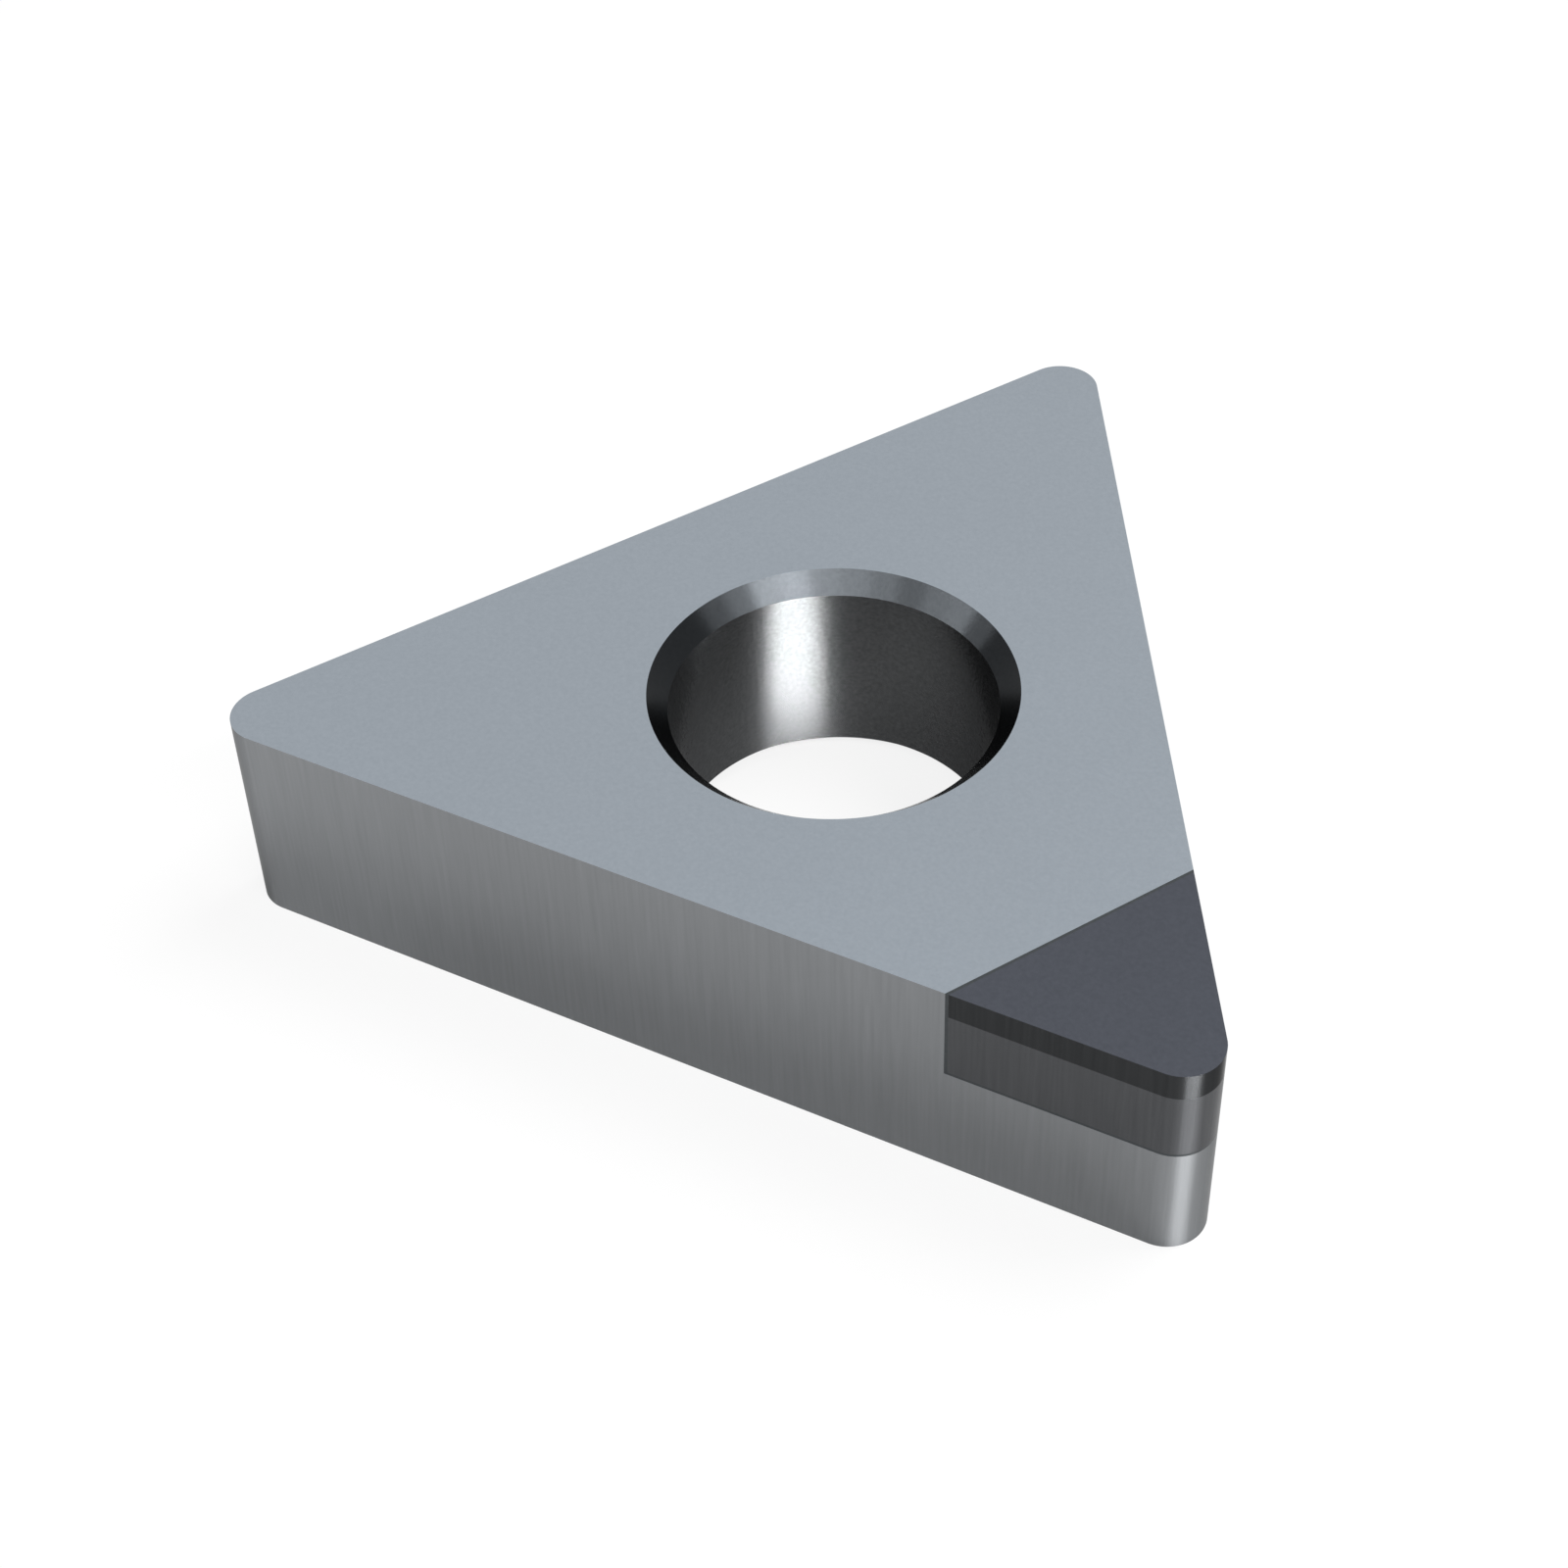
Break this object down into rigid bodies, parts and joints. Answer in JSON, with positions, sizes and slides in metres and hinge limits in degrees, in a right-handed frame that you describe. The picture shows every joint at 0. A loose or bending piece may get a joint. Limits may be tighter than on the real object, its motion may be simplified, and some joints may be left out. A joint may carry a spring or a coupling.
{
  "type": "diamond turning insert",
  "caption": "Flat triangular turning insert with straight flanks, a chamfered centre hole and a corner tip of sintered diamond on a carbide backing, brazed in a pocket.",
  "frame": {"origin": "on the hole's axis, in the seat face that rests in the holder", "axes": "+Z from the seat face to the rake face, +X towards the diamond-tipped corner, so the flank opposite the tip faces -X"},
  "size_m": [0.0092, 0.0104, 0.0024],
  "materials": {
    "ground_carbide": "satin",
    "braze_alloy": "matte",
    "backing_carbide": "satin",
    "sintered_diamond": "satin"
  },
  "bodies": {
    "root": {"carbide_body": "ground_carbide", "braze_layer": "braze_alloy", "carbide_backing": "backing_carbide", "diamond_layer": "sintered_diamond"}
  },
  "joints": []
}
